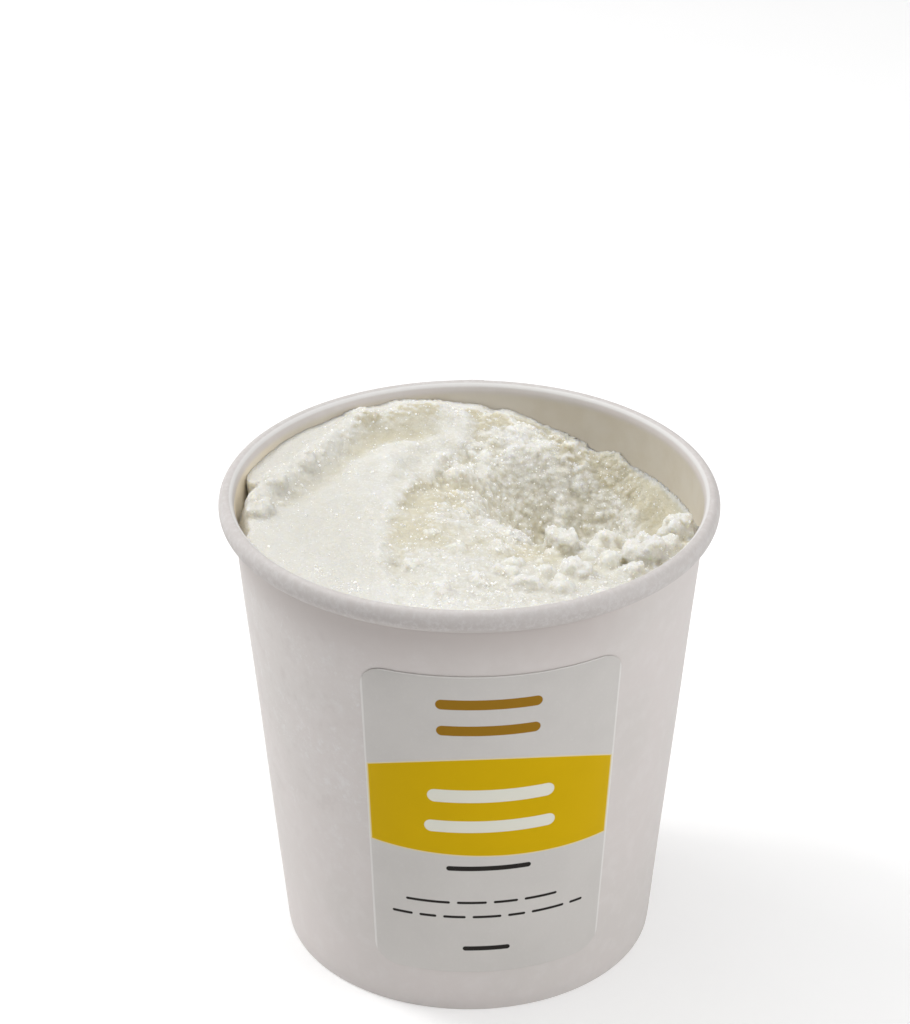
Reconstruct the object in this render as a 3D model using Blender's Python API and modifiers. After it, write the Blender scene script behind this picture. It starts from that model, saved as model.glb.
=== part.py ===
# A paper tub of sorbet, dug out on one side.
# The tub stands on z = 0 round the Z axis, and the middle of its label faces -Y.
import math
import random

import bmesh
import bpy
from mathutils import Vector, noise

mm = 0.001

# The tub: a leaning wall with a rolled rim, and a hem folded round the skirt of its base.
tub_height = 97.8 * mm
foot_radius = 37.3 * mm
shoulder_radius = 46.13 * mm
shoulder_height = 93.0 * mm
card = 0.5 * mm
rim_radius = 49.0 * mm
roll_width = 3.1 * mm
roll_height = 4.5 * mm
hem_height = 6.0 * mm
hem_corner = 0.4 * mm
base_height = 7.0 * mm
base_corner = 0.3 * mm
skirt_foot = 1.3 * mm
slot_foot = 1.0 * mm
turn_steps = 80

# Room between pieces that touch on the real tub.
slip = 0.25 * mm
touch = 0.3 * mm

# The label, whose sides follow the wall's taper and spread a little towards its foot.
label_top = 82.3 * mm
label_foot = 10.1 * mm
label_half_angle_top = math.radians(33.5)
label_half_angle_foot = math.radians(34.8)
label_corner = 4.5 * mm
label_thickness = 0.25 * mm
label_corner_steps = 5

# The sorbet's levels and its slope down to the side that was dug.
level_left = 94.4 * mm
level_right = 90.8 * mm
level_start = -15.0 * mm
level_end = 36.0 * mm
lowest_edge = 87.5 * mm

# A ridge pushed up near the wall at the back left, with a shallow trough inside it.
ridge_line = [(-41, 7), (-36, 13), (-30.5, 19.5), (-25, 28), (-19, 36), (-10, 41.5), (2, 42)]
ridge_rise = 2.0 * mm
ridge_width = 3.6 * mm
trough_line = [(-35, 7), (-29.5, 14), (-22, 24.5), (-15.5, 32), (-5, 35)]
trough_depth = 1.9 * mm
trough_width = 3.6 * mm

# The hollow that the scooping left, deep in its middle and with a shallow apron.
hollow_x = 23.0 * mm
hollow_y = 11.5 * mm
hollow_turn = math.radians(-40)
hollow_half_length = 24.0 * mm
hollow_half_width = 19.5 * mm
hollow_depth = 19.0 * mm
hollow_floor_share = 0.15
hollow_lip_share = 1.05
apron_depth = 4.2 * mm
apron_inner_share = 0.7
apron_outer_share = 1.75
hollow_wobble = 0.24
wobble_turns = 1.6

# Relief: coarse and fine swells, low on the smooth spread and higher on the craggy side.
coarse_size = 9.0 * mm
coarse_smooth = 0.35 * mm
fine_size = 4.0 * mm
fine_smooth = 0.15 * mm
craggy = 0.9 * mm
craggy_outer_share = 2.1
ridge_crag = 0.6
ragged_size = 2.4 * mm
ragged_share = 0.3

# The edge that came away from the wall at the left.
gap_middle = math.radians(176)
gap_half_angle = math.radians(17)
gap_width = 2.3 * mm
notch_middle = math.radians(167)
notch_half_angle = math.radians(5)
notch_width = 1.9 * mm
gap_floor = 85.5 * mm

# Lumps on the surface, in millimetres: place, radius and height.
lumps = [
    (-41.0, 2.0, 3.2, 1.5),
    (-37.5, 11.0, 2.8, 1.2),
    (-31.0, 19.5, 2.6, 0.9),
    (-18.0, 38.0, 3.0, 0.9),
    (16.8, -11.5, 3.7, 4.6),
    (27.5, -3.5, 4.0, 3.2),
    (32.0, -18.0, 4.2, 3.8),
    (37.5, -14.0, 3.0, 2.0),
    (40.5, -6.5, 3.6, 3.8),
    (18.0, -24.0, 3.0, 1.8),
    (24.7, -20.0, 2.4, 2.0),
    (28.5, -24.0, 2.6, 1.6),
]
crumb_seed = 11
crumb_count = 60
crumb_radius = (1.8, 3.2)
crumb_height = (0.4, 1.3)
crumb_share = (0.35, 1.2)
crumb_margin = 3.0 * mm

# Squares along a side of the grid that is drawn out to the sorbet's round surface.
sorbet_cells = 62


def remove_everything():
    for thing in list(bpy.data.objects):
        bpy.data.objects.remove(thing, do_unlink=True)


def new_collection(name):
    collection = bpy.data.collections.new(name)
    bpy.context.scene.collection.children.link(collection)
    return collection


def new_material(name, color, roughness, metallic=0.0):
    material = bpy.data.materials.new(name)
    material.use_nodes = True
    shader = material.node_tree.nodes["Principled BSDF"]
    shader.inputs["Base Color"].default_value = (*color, 1)
    shader.inputs["Roughness"].default_value = roughness
    shader.inputs["Metallic"].default_value = metallic
    return material


def object_from(bm, name, collection, material=None):
    mesh = bpy.data.meshes.new(name)
    bm.to_mesh(mesh)
    bm.free()
    thing = bpy.data.objects.new(name, mesh)
    collection.objects.link(thing)
    if material:
        mesh.materials.append(material)
    return thing


def wall_radius(z):
    """The radius of the wall's outer face at a height."""
    return foot_radius + (shoulder_radius - foot_radius) * z / shoulder_height


def arc(center, radii, start, end, steps):
    """Points along part of an ellipse, both ends included, with its angles in degrees."""
    points = []
    for i in range(steps + 1):
        angle = math.radians(start + (end - start) * i / steps)
        points.append((center[0] + radii[0] * math.cos(angle), center[1] + radii[1] * math.sin(angle)))
    return points


def turned(name, outline, closed, collection, material=None):
    """An outline in the XZ plane, turned round the Z axis."""
    bm = bmesh.new()
    verts = [bm.verts.new((r, 0, z)) for r, z in outline]
    for a, b in zip(verts, verts[1:]):
        bm.edges.new((a, b))
    if closed:
        bm.edges.new((verts[-1], verts[0]))
    thing = object_from(bm, name, collection, material)
    screw = thing.modifiers.new("turn", "SCREW")
    screw.axis = "Z"
    screw.steps = turn_steps
    screw.render_steps = turn_steps
    screw.use_merge_vertices = True
    screw.merge_threshold = 0.00001
    screw.use_smooth_shade = True
    return thing


def make_wall(collection, material):
    roll = (roll_width / 2, roll_height / 2)
    roll_center = (rim_radius - roll[0], tub_height - roll[1])
    # The roll closes on the wall's outer face, below its own widest point.
    reach = (wall_radius(roll_center[1] - roll[1] / 2) - roll_center[0]) / roll[0]
    closing_angle = -math.degrees(math.acos(reach))
    outline = arc(roll_center, roll, 180, closing_angle, 11)

    hem_inner = wall_radius(0) - 3 * card - 2 * slip
    lean = wall_radius(1) - wall_radius(0)
    corner = (hem_corner, hem_corner)
    outline += arc((wall_radius(0) - hem_corner, hem_corner), corner, 0, -90, 2)
    outline += arc((hem_inner + hem_corner, hem_corner), corner, -90, -180, 2)
    outline += [
        (hem_inner + lean * hem_height, hem_height),
        (hem_inner + card + lean * hem_height, hem_height),
        (hem_inner + card + lean * slot_foot, slot_foot),
        (wall_radius(slot_foot) - card, slot_foot),
    ]
    return turned("cup_wall", outline, True, collection, material)


def make_base(collection, material):
    edge = card + slip
    underside = base_height - card
    outline = [
        (0, base_height),
        (wall_radius(base_height) - edge - base_corner, base_height),
        (wall_radius(base_height) - edge, base_height - base_corner),
        (wall_radius(skirt_foot) - edge, skirt_foot),
        (wall_radius(skirt_foot) - edge - card, skirt_foot),
        (wall_radius(underside) - edge - card, underside),
        (0, underside),
    ]
    return turned("cup_base", outline, False, collection, material)


def make_label(collection, cutters, material):
    inner = wall_radius(label_foot) + touch
    lean = (wall_radius(label_top) - wall_radius(label_foot)) / (label_top - label_foot)
    beyond = 1 * mm
    rise = label_top - label_foot + beyond
    outline = [
        (inner + lean * rise, label_foot + rise),
        (inner + lean * rise + label_thickness, label_foot + rise),
        (inner - lean * beyond + label_thickness, label_foot - beyond),
        (inner - lean * beyond, label_foot - beyond),
    ]
    label = turned("label", outline, True, collection, material)

    half_top = (wall_radius(label_top) + touch) * math.sin(label_half_angle_top)
    half_foot = (wall_radius(label_foot) + touch) * math.sin(label_half_angle_foot)
    cut = label.modifiers.new("outline", "BOOLEAN")
    cut.operation = "INTERSECT"
    cut.solver = "EXACT"
    cut.object = make_label_cutter(cutters, half_top, half_foot)
    return label


def make_label_cutter(cutters, half_top, half_foot):
    """A block with the label's front outline, its corners rounded."""
    corners = [
        (half_foot, label_foot),
        (half_top, label_top),
        (-half_top, label_top),
        (-half_foot, label_foot),
    ]
    depth = rim_radius
    bm = bmesh.new()
    face = bm.faces.new([bm.verts.new((x, -depth / 2, z)) for x, z in corners])
    front = bmesh.ops.extrude_face_region(bm, geom=[face])["geom"]
    front_verts = [part for part in front if isinstance(part, bmesh.types.BMVert)]
    bmesh.ops.translate(bm, verts=front_verts, vec=(0, -depth, 0))
    bm.normal_update()
    long_edges = [e for e in bm.edges if abs(e.verts[0].co.y - e.verts[1].co.y) > depth / 2]
    bmesh.ops.bevel(
        bm, geom=long_edges, offset=label_corner, segments=label_corner_steps, profile=0.5, affect="EDGES"
    )
    bmesh.ops.recalc_face_normals(bm, faces=bm.faces)
    cutter = object_from(bm, "label_outline", cutters)
    cutter.hide_render = True
    cutter.display_type = "WIRE"
    return cutter


def smooth_step(start, end, value):
    """0 at the start and 1 at the end, whichever of them is the larger."""
    t = min(1, max(0, (value - start) / (end - start)))
    return t * t * (3 - 2 * t)


def distance_to_line(x, y, line):
    """The shortest way from a place to a bent line whose points are in millimetres."""
    here = Vector((x, y))
    shortest = math.inf
    for a, b in zip(line, line[1:]):
        start = Vector(a) * mm
        along = Vector(b) * mm - start
        t = min(1, max(0, (here - start).dot(along) / along.length_squared))
        shortest = min(shortest, (here - start - t * along).length)
    return shortest


def swell(distance, width):
    return math.exp(-(distance / width) ** 2)


def rough(x, y, size, seed):
    """Smooth noise between about -1 and 1 that changes over the given size."""
    return noise.noise(Vector((x / size, y / size, seed)))


def make_crumbs():
    """Small lumps round the hollow's lip and down its sides, as place, radius and height."""
    draw = random.Random(crumb_seed)
    crumbs = []
    while len(crumbs) < crumb_count:
        angle = draw.uniform(0, 2 * math.pi)
        away = draw.uniform(*crumb_share) * hollow_half_length
        x = hollow_x + away * math.cos(angle)
        y = hollow_y + away * math.sin(angle)
        if math.hypot(x, y) < wall_radius(lowest_edge) - crumb_margin:
            crumbs.append((x / mm, y / mm, draw.uniform(*crumb_radius), draw.uniform(*crumb_height)))
    return crumbs


all_lumps = lumps + make_crumbs()


def hollow_share(x, y):
    """0 at the middle of the hollow and 1 on its uneven lip."""
    turn, back = math.cos(hollow_turn), math.sin(hollow_turn)
    along = ((x - hollow_x) * turn + (y - hollow_y) * back) / hollow_half_length
    across = ((y - hollow_y) * turn - (x - hollow_x) * back) / hollow_half_width
    angle = math.atan2(across, along)
    wobble = rough(wobble_turns * math.cos(angle), wobble_turns * math.sin(angle), 1, 4.2)
    return math.hypot(across, along) * (1 + hollow_wobble * wobble)


def sorbet_height(x, y):
    """The height of the sorbet's surface over a place inside the tub."""
    z = level_left + (level_right - level_left) * smooth_step(level_start, level_end, x)
    on_ridge = swell(distance_to_line(x, y, ridge_line), ridge_width)
    z += ridge_rise * on_ridge
    z -= trough_depth * swell(distance_to_line(x, y, trough_line), trough_width)

    share = hollow_share(x, y)
    z -= hollow_depth * smooth_step(hollow_lip_share, hollow_floor_share, share)
    z -= apron_depth * smooth_step(apron_outer_share, apron_inner_share, share)

    crag = craggy * (smooth_step(craggy_outer_share, 1, share) + ridge_crag * on_ridge)
    z += (coarse_smooth + crag) * rough(x, y, coarse_size, 1.3)
    z += (fine_smooth + crag) * rough(x, y, fine_size, 7.1)

    ragged = 1 + ragged_share * rough(x, y, ragged_size, 3.7)
    for lump_x, lump_y, radius, height in all_lumps:
        away = ragged * math.hypot(x - lump_x * mm, y - lump_y * mm) / (radius * mm)
        if away < 1:
            z += height * mm * (1 - away ** 3)
    return z


def gap_at(angle):
    """How far the sorbet's edge stands off the wall, besides the room that every piece has."""
    turn = angle % (2 * math.pi)
    gap = gap_width * smooth_step(1.0, 0.6, abs(turn - gap_middle) / gap_half_angle)
    return gap + notch_width * smooth_step(1.0, 0.2, abs(turn - notch_middle) / notch_half_angle)


def sorbet_radius(z):
    """The largest radius inside the wall's flats that the sorbet may have at a height."""
    flats = math.cos(math.pi / turn_steps)
    return (wall_radius(z) - card) * flats - touch


def make_sorbet(collection, material):
    bm = bmesh.new()
    bmesh.ops.create_grid(bm, x_segments=sorbet_cells, y_segments=sorbet_cells, size=1)
    for vert in bm.verts:
        # The square grid is drawn out to a disc.
        u, v = vert.co.x, vert.co.y
        across = u * math.sqrt(1 - v * v / 2)
        along = v * math.sqrt(1 - u * u / 2)
        angle = math.atan2(along, across)
        nominal = sorbet_radius(level_left)
        edge_z = sorbet_height(nominal * math.cos(angle), nominal * math.sin(angle))
        edge = sorbet_radius(max(lowest_edge, edge_z)) - gap_at(angle)
        x, y = across * edge, along * edge
        z = sorbet_height(x, y)
        if math.hypot(across, along) > 0.999:
            z = max(lowest_edge, z)
        vert.co = (x, y, z)

    # The side goes down from the edge to the gap's floor, where it meets the wall, and to the base.
    rim = [edge for edge in bm.edges if edge.is_boundary]
    for height in (gap_floor, base_height + touch):
        grown = bmesh.ops.extrude_edge_only(bm, edges=rim)["geom"]
        rim = [part for part in grown if isinstance(part, bmesh.types.BMEdge)]
        for vert in [part for part in grown if isinstance(part, bmesh.types.BMVert)]:
            angle = math.atan2(vert.co.y, vert.co.x)
            radius = sorbet_radius(height)
            vert.co = (radius * math.cos(angle), radius * math.sin(angle), height)
    bmesh.ops.contextual_create(bm, geom=rim)
    bmesh.ops.recalc_face_normals(bm, faces=bm.faces)
    sorbet = object_from(bm, "sorbet", collection, material)
    sorbet.data.shade_smooth()
    sorbet.data.set_sharp_from_angle(angle=math.radians(50))
    return sorbet


def build():
    remove_everything()
    tub = new_collection("sorbet_cup")
    cutters = new_collection("cutters")
    cutters.hide_render = True
    paper = new_material("paper", (0.72, 0.69, 0.67), 0.6)
    base_paper = new_material("base_paper", (0.7, 0.68, 0.66), 0.65)
    label_paper = new_material("label_paper", (0.85, 0.66, 0.08), 0.5)
    ice = new_material("ice", (0.86, 0.86, 0.8), 0.45)
    make_wall(tub, paper)
    make_base(tub, base_paper)
    make_label(tub, cutters, label_paper)
    make_sorbet(tub, ice)


build()
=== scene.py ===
import math
import random

import bpy
import numpy as np
from mathutils import Matrix, Vector, noise


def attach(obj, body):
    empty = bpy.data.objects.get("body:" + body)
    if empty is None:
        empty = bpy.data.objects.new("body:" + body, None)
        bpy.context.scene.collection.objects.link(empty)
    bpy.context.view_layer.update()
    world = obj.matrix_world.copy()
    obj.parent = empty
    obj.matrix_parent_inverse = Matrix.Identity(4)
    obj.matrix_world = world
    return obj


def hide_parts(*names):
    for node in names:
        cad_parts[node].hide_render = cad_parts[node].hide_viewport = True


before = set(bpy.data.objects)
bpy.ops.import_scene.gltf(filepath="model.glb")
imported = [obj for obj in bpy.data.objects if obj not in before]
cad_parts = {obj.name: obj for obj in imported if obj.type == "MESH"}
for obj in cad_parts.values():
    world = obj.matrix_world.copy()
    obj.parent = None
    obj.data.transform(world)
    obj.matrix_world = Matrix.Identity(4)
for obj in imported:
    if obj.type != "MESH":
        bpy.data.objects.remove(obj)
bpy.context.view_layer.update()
bpy.ops.object.select_all(action="DESELECT")
mm = 0.001
fullTurn = 2 * math.pi


# Shader maths
class Wire:
    # One output of a node. Sums and products of wires add their Math nodes.
    def __init__(self, tree, socket=None):
        self.tree = tree
        self.socket = socket

    def node(self, kind, settings=None, inputs=None, output=0):
        made = self.tree.nodes.new("ShaderNode" + kind)
        for name, value in (settings or {}).items():
            setattr(made, name, value)
        for name, value in (inputs or {}).items():
            if isinstance(value, Wire):
                self.tree.links.new(value.socket, made.inputs[name])
            else:
                made.inputs[name].default_value = value
        return Wire(self.tree, made.outputs[output])

    def other(self, name):
        return Wire(self.tree, self.socket.node.outputs[name])

    def math(self, operation, *values):
        return self.node("Math", {"operation": operation}, dict(enumerate(values)))

    def __add__(self, value):
        return self.math("ADD", self, value)

    def __sub__(self, value):
        return self.math("SUBTRACT", self, value)

    def __rsub__(self, value):
        return self.math("SUBTRACT", value, self)

    def __mul__(self, value):
        return self.math("MULTIPLY", self, value)

    def __truediv__(self, value):
        return self.math("DIVIDE", self, value)

    def __neg__(self):
        return self.math("MULTIPLY", self, -1)

    __radd__ = __add__
    __rmul__ = __mul__

    def size(self):
        return self.math("ABSOLUTE", self)

    def root(self):
        return self.math("SQRT", self)

    def least(self, value):
        return self.math("MAXIMUM", self, value)

    def most(self, value):
        return self.math("MINIMUM", self, value)

    def rise(self, low, high):
        # 0 below low, 1 above high and smooth between them; also the other way round
        return self.node("MapRange", {"interpolation_type": "SMOOTHSTEP"},
                         {"Value": self, "From Min": low, "From Max": high})

    def cloud(self, scale, detail=2, roughness=0.5):
        return self.node("TexNoise", None,
                         {"Vector": self, "Scale": scale, "Detail": detail, "Roughness": roughness})

    def blend(self, first, second):
        # from the first color to the second as this value goes from 0 to 1
        first, second = (tint if isinstance(tint, Wire) else (*tint, 1) for tint in (first, second))
        return self.node("Mix", {"data_type": "RGBA"}, {0: self, 6: first, 7: second}, 2)

    def bump(self, strength, depth):
        return self.node("Bump", None, {"Height": self, "Strength": strength, "Distance": depth})


def newFinish(name, **fixed):
    material = bpy.data.materials.new(name)
    material.use_nodes = True
    shader = material.node_tree.nodes["Principled BSDF"]
    for socket, value in fixed.items():
        shader.inputs[socket.replace("_", " ")].default_value = value
    return material, shader, Wire(material.node_tree)


def feed(shader, **wires):
    for socket, wire in wires.items():
        shader.id_data.links.new(wire.socket, shader.inputs[socket.replace("_", " ")])


# Small tools
def smoothStep(start, end, value):
    t = min(1, max(0, (value - start) / (end - start)))
    return t * t * (3 - 2 * t)


def pick(piece):
    bpy.ops.object.select_all(action="DESELECT")
    bpy.context.view_layer.objects.active = piece
    piece.select_set(True)


def selectWhere(piece, test):
    # picks faces by their place, in object mode, and goes into edit mode
    for polygon in piece.data.polygons:
        polygon.select = test(polygon.center, polygon.normal)
    pick(piece)
    bpy.ops.object.mode_set(mode="EDIT")
    bpy.ops.mesh.select_mode(type="FACE")


def finishPiece(piece, slot, finish, *nodes):
    piece.data.materials.clear()
    piece.data.materials.append(finish)
    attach(piece, "root")
    if nodes:
        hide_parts(*nodes)


# The tub
tub = {
    "height": 97.8,
    "footRadius": 37.3,
    "shoulderRadius": 46.13,
    "shoulderHeight": 93.0,
    "card": 0.5,
    "rimRadius": 48.99,
    "roll": (3.1, 4.5),
    "rollFoot": 93.3,
    "rollSteps": 44,
    "innerTop": 94.0,
    "outerSpan": (92.8, 2.0),
    "hemHeight": 6.0,
    "hemEnd": 5.85,
    "hemCorner": 0.4,
    "slotFoot": 1.0,
    "slip": 0.25,
    "rowHeight": 2.4,
    "turnSteps": 256,
    "seamAngle": math.radians(80),
    "seamWidth": math.radians(9),
    "seamRise": 0.26,
    "waver": 0.14,
    "waverTurns": 1.5,
    "waverHeight": 34.0,
    "smoothAngle": math.radians(38),
}
tubTints = {
    "pink": (0.705, 0.655, 0.635),
    "grey": (0.675, 0.637, 0.612),
    "mottle": (0.76, 0.725, 0.71),
    "wet": (0.6, 0.55, 0.53),
    "frost": (0.84, 0.835, 0.83),
    "foot": (0.6, 0.57, 0.55),
    "paintedRollShadow": (0.56, 0.508, 0.485),
    "inner": (0.655, 0.6, 0.505),
    "paintedGapGlow": (0.93, 0.83, 0.66),
    "innerStain": (0.75, 0.715, 0.655),
    "roll": (0.565, 0.535, 0.52),
    "paintedRollUnderShade": (0.45, 0.415, 0.4),
    "rollFrost": (0.8, 0.79, 0.785),
    "paintedCreaseShadow": (0.44, 0.405, 0.39),
    "paintedRimHighlight": (0.87, 0.86, 0.85),
}


def wallRadius(z):
    return tub["footRadius"] + (tub["shoulderRadius"] - tub["footRadius"]) * z / tub["shoulderHeight"]


def wallShift(angle, z):
    # paper is never quite round: a slow waver that dies out at the foot and the rim
    inside = smoothStep(3, 22, z) * smoothStep(93, 78, z)
    turns = tub["waverTurns"]
    place = Vector((turns * math.cos(angle), turns * math.sin(angle), z / tub["waverHeight"]))
    return tub["waver"] * inside * noise.noise(place)


def arc(center, radii, start, end, steps):
    points = []
    for i in range(steps + 1):
        angle = math.radians(start + (end - start) * i / steps)
        points.append((center[0] + radii[0] * math.cos(angle), center[1] + radii[1] * math.sin(angle)))
    return points


def rows(low, high, height):
    count = max(1, round(abs(high - low) / height))
    return [low + (high - low) * i / count for i in range(count + 1)]


def wallOutline():
    card, corner = tub["card"], tub["hemCorner"]
    roll = (tub["roll"][0] / 2, tub["roll"][1] / 2)
    rollCenter = (tub["rimRadius"] - roll[0], tub["height"] - roll[1])
    reach = (wallRadius(rollCenter[1] - roll[1] / 2) - rollCenter[0]) / roll[0]
    closing = -math.degrees(math.acos(reach))
    hemInner = wallRadius(0) - 3 * card - 2 * tub["slip"]
    lean = wallRadius(1) - wallRadius(0)
    outline = [(wallRadius(z) - card, z) for z in rows(tub["slotFoot"], tub["innerTop"], tub["rowHeight"])]
    outline += arc(rollCenter, roll, 180, closing, tub["rollSteps"])
    outline += [(wallRadius(z), z) for z in rows(*tub["outerSpan"], tub["rowHeight"])]
    outline += arc((wallRadius(0) - corner, corner), (corner, corner), 0, -90, 5)
    outline += arc((hemInner + corner, corner), (corner, corner), -90, -180, 5)
    outline += [(hemInner + lean * z, z) for z in (1.8, 3.4, 5.0, tub["hemEnd"])]
    hemMiddle = hemInner + card / 2 + lean * tub["hemHeight"]
    outline += arc((hemMiddle, tub["hemEnd"]), (card / 2, card / 3), 180, 0, 4)
    outline += [(hemInner + card + lean * z, z) for z in (5.0, 3.0, tub["slotFoot"])]
    return outline


def turnRings(name, outline, steps):
    # a circle is drawn out, ring after ring, along a closed outline
    radius, height = outline[0]
    bpy.ops.object.select_all(action="DESELECT")
    bpy.ops.mesh.primitive_circle_add(vertices=steps, radius=radius * mm, location=(0, 0, height * mm))
    piece = bpy.context.object
    piece.name = name
    piece.data.name = name
    bpy.ops.object.transform_apply(location=True)
    bpy.ops.object.mode_set(mode="EDIT")
    bpy.ops.mesh.select_mode(type="EDGE")
    bpy.ops.mesh.select_all(action="SELECT")
    for (fromRadius, fromZ), (toRadius, toZ) in zip(outline, outline[1:]):
        bpy.ops.mesh.extrude_region_move(TRANSFORM_OT_translate={"value": (0, 0, (toZ - fromZ) * mm)})
        grow = toRadius / fromRadius
        bpy.ops.transform.resize(value=(grow, grow, 1), center_override=(0, 0, toZ * mm))
    bpy.ops.mesh.select_all(action="DESELECT")
    bpy.ops.mesh.select_non_manifold()
    bpy.ops.mesh.bridge_edge_loops()
    bpy.ops.mesh.select_all(action="SELECT")
    bpy.ops.mesh.normals_make_consistent(inside=False)
    bpy.ops.object.mode_set(mode="OBJECT")
    return piece


def overlapAt(angle):
    # 1 at the sheet's edge that lies on top, and down to 0 where the sheet turns single
    turn = (angle - tub["seamAngle"]) / tub["seamWidth"]
    return smoothStep(1, 0.2, turn) if 0 < turn < 1 else 0


def bendWall(piece):
    # the waver of the paper, and the step where the rolled sheet overlaps itself
    step = fullTurn / tub["turnSteps"]
    beside = round(tub["seamAngle"] / step)
    rollMiddle = tub["rimRadius"] - tub["roll"][0] / 2
    for vert in piece.data.vertices:
        radius, z = math.hypot(vert.co.x, vert.co.y) / mm, vert.co.z / mm
        angle = math.atan2(vert.co.y, vert.co.x)
        column = round(angle / step)
        if column in (beside, beside + 1):
            angle = tub["seamAngle"] + (column - beside - 0.5) * 0.002
        outer = radius > (rollMiddle if z > tub["rollFoot"] else wallRadius(z) - tub["card"] / 2)
        radius += wallShift(angle, z) if radius > wallRadius(z) - 0.7 else 0
        if outer and z > 1:
            radius += tub["seamRise"] * overlapAt(angle) * smoothStep(1, 3, z)
        elif 8 < z < tub["rollFoot"]:
            backwards = tub["seamAngle"] + tub["seamWidth"] - angle
            if 0 < backwards < tub["seamWidth"]:
                radius -= tub["seamRise"] * smoothStep(1, 0.2, backwards / tub["seamWidth"])
        vert.co = (radius * mm * math.cos(angle), radius * mm * math.sin(angle), z * mm)


def tubPaperFinish():
    material, shader, start = newFinish("tubPaper", Roughness=0.5, Specular_IOR_Level=0.35)
    place = start.node("TexCoord", output="Object")
    parts = place.node("SeparateXYZ", None, {0: place})
    x, y, z = parts / mm, parts.other("Y") / mm, parts.other("Z") / mm
    # slow pink and grey drifts of the paper, as cold card shows
    drift = place.cloud(38, 3).rise(0.32, 0.7)
    tint = drift.blend(tubTints["pink"], tubTints["grey"])
    mottle = place.cloud(260, 4, 0.62)
    tint = (mottle.rise(0.42, 0.72) * 0.35).blend(tint, tubTints["mottle"])
    # frost gathers on the left of the front, in flecks and smears, with wet paper between its patches
    left = x.rise(8, -34) * y.rise(6, -14)
    high = z.rise(16, 52) * z.rise(93, 84)
    flecks = place.cloud(900, 4, 0.75).rise(0.52, 0.72)
    smears = place.cloud(330, 4, 0.7).rise(0.5, 0.7)
    patches = place.cloud(95, 3, 0.65)
    frost = (flecks * 0.6 + smears * 0.6) * patches.rise(0.42, 0.6) * left * high
    wet = patches.rise(0.55, 0.4) * place.cloud(310, 3, 0.6).rise(0.5, 0.66) * left * high
    tint = (wet * 0.35).blend(tint, tubTints["wet"])
    tint = (frost * 0.6).blend(tint, tubTints["frost"])
    # the foot is a touch darker, and the paper under the roll and the roll's lower part, at the front and
    # left, get a painted shadow from the roll
    tint = (z.rise(3.5, 0.2) * 0.25).blend(tint, tubTints["foot"])
    paintedRollShadow = z.rise(79, 92.8) * z.rise(97, 95) * x.rise(34, 14) * y.rise(20, 0)
    tint = (paintedRollShadow * 0.8).blend(tint, tubTints["paintedRollShadow"])
    # the inner face is creamier; by the gap on the left it is painted lighter and warmer, a painted glow for
    # light that comes through the card
    radius = (x * x + y * y).root()
    lean = (tub["shoulderRadius"] - tub["footRadius"]) / tub["shoulderHeight"]
    outside = radius - z * lean - tub["footRadius"] + tub["card"] / 2
    inner = outside.rise(0.1, -0.1) * z.rise(8, 10) * z.rise(96.5, 95)
    stained = z.rise(80, 92) * place.cloud(120, 3, 0.6).rise(0.35, 0.65) * 0.35
    cream = x.rise(-30, -44).blend(tubTints["inner"], tubTints["paintedGapGlow"])
    tint = inner.blend(tint, stained.blend(cream, tubTints["innerStain"]))
    # the roll is darker overall and frosted; its lower part and the crease under it get painted shade
    furred = place.cloud(820, 4, 0.75)
    outer = outside.rise(-0.1, 0.1)
    roll = z.rise(93.2, 94.2) * outer
    tint = (roll * 0.5).blend(tint, tubTints["roll"])
    tint = (roll * z.rise(96.6, 94.4) * 0.45).blend(tint, tubTints["paintedRollUnderShade"])
    tint = (furred.rise(0.42, 0.66) * roll * 0.28).blend(tint, tubTints["rollFrost"])
    paintedCreaseShadow = z.rise(91.6, 92.8) * z.rise(94.6, 93.6) * outer
    tint = (paintedCreaseShadow * 0.5).blend(tint, tubTints["paintedCreaseShadow"])
    # a painted highlight runs along the top of the roll on its inner side
    paintedRimHighlight = (radius - 46.55).size().rise(0.5, 0.15) * z.rise(96.6, 97.2)
    tint = (paintedRimHighlight * 0.8).blend(tint, tubTints["paintedRimHighlight"])
    fibres = place.node("Mapping", None, {"Vector": place, "Scale": (1, 1, 0.45)})
    height = (fibres.cloud(1900, 3, 0.6) + fibres.cloud(420, 3, 0.5)) * 0.5
    height = height + frost * 2.6 + furred * roll * 1.2
    feed(shader, Base_Color=tint, Roughness=0.46 + mottle * 0.16 + frost * 0.2,
         Normal=height.bump(0.22, 0.12 * mm))
    return material


def makeTub():
    print("tub: rings")
    piece = turnRings("tubWall", wallOutline(), tub["turnSteps"])
    bendWall(piece)
    pick(piece)
    bpy.ops.object.shade_smooth_by_angle(angle=tub["smoothAngle"])
    finishPiece(piece, "tub_paper", tubPaperFinish(), "cup_wall")
    return piece


# The base, whose CAD disc stays
def basePaperFinish():
    material, shader, start = newFinish("basePaper", Roughness=0.6, Specular_IOR_Level=0.3)
    place = start.node("TexCoord", output="Object")
    grain = place.cloud(900, 4, 0.6)
    drift = place.cloud(55, 3)
    tint = drift.rise(0.35, 0.68).blend((0.72, 0.69, 0.67), (0.66, 0.635, 0.61))
    tint = (grain.rise(0.55, 0.75) * 0.3).blend(tint, (0.8, 0.785, 0.77))
    feed(shader, Base_Color=tint, Roughness=0.52 + grain * 0.2, Normal=grain.bump(0.3, 0.1 * mm))
    return material


def dressBase():
    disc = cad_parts["cup_base"]
    disc.data.materials.clear()
    disc.data.materials.append(basePaperFinish())


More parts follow.
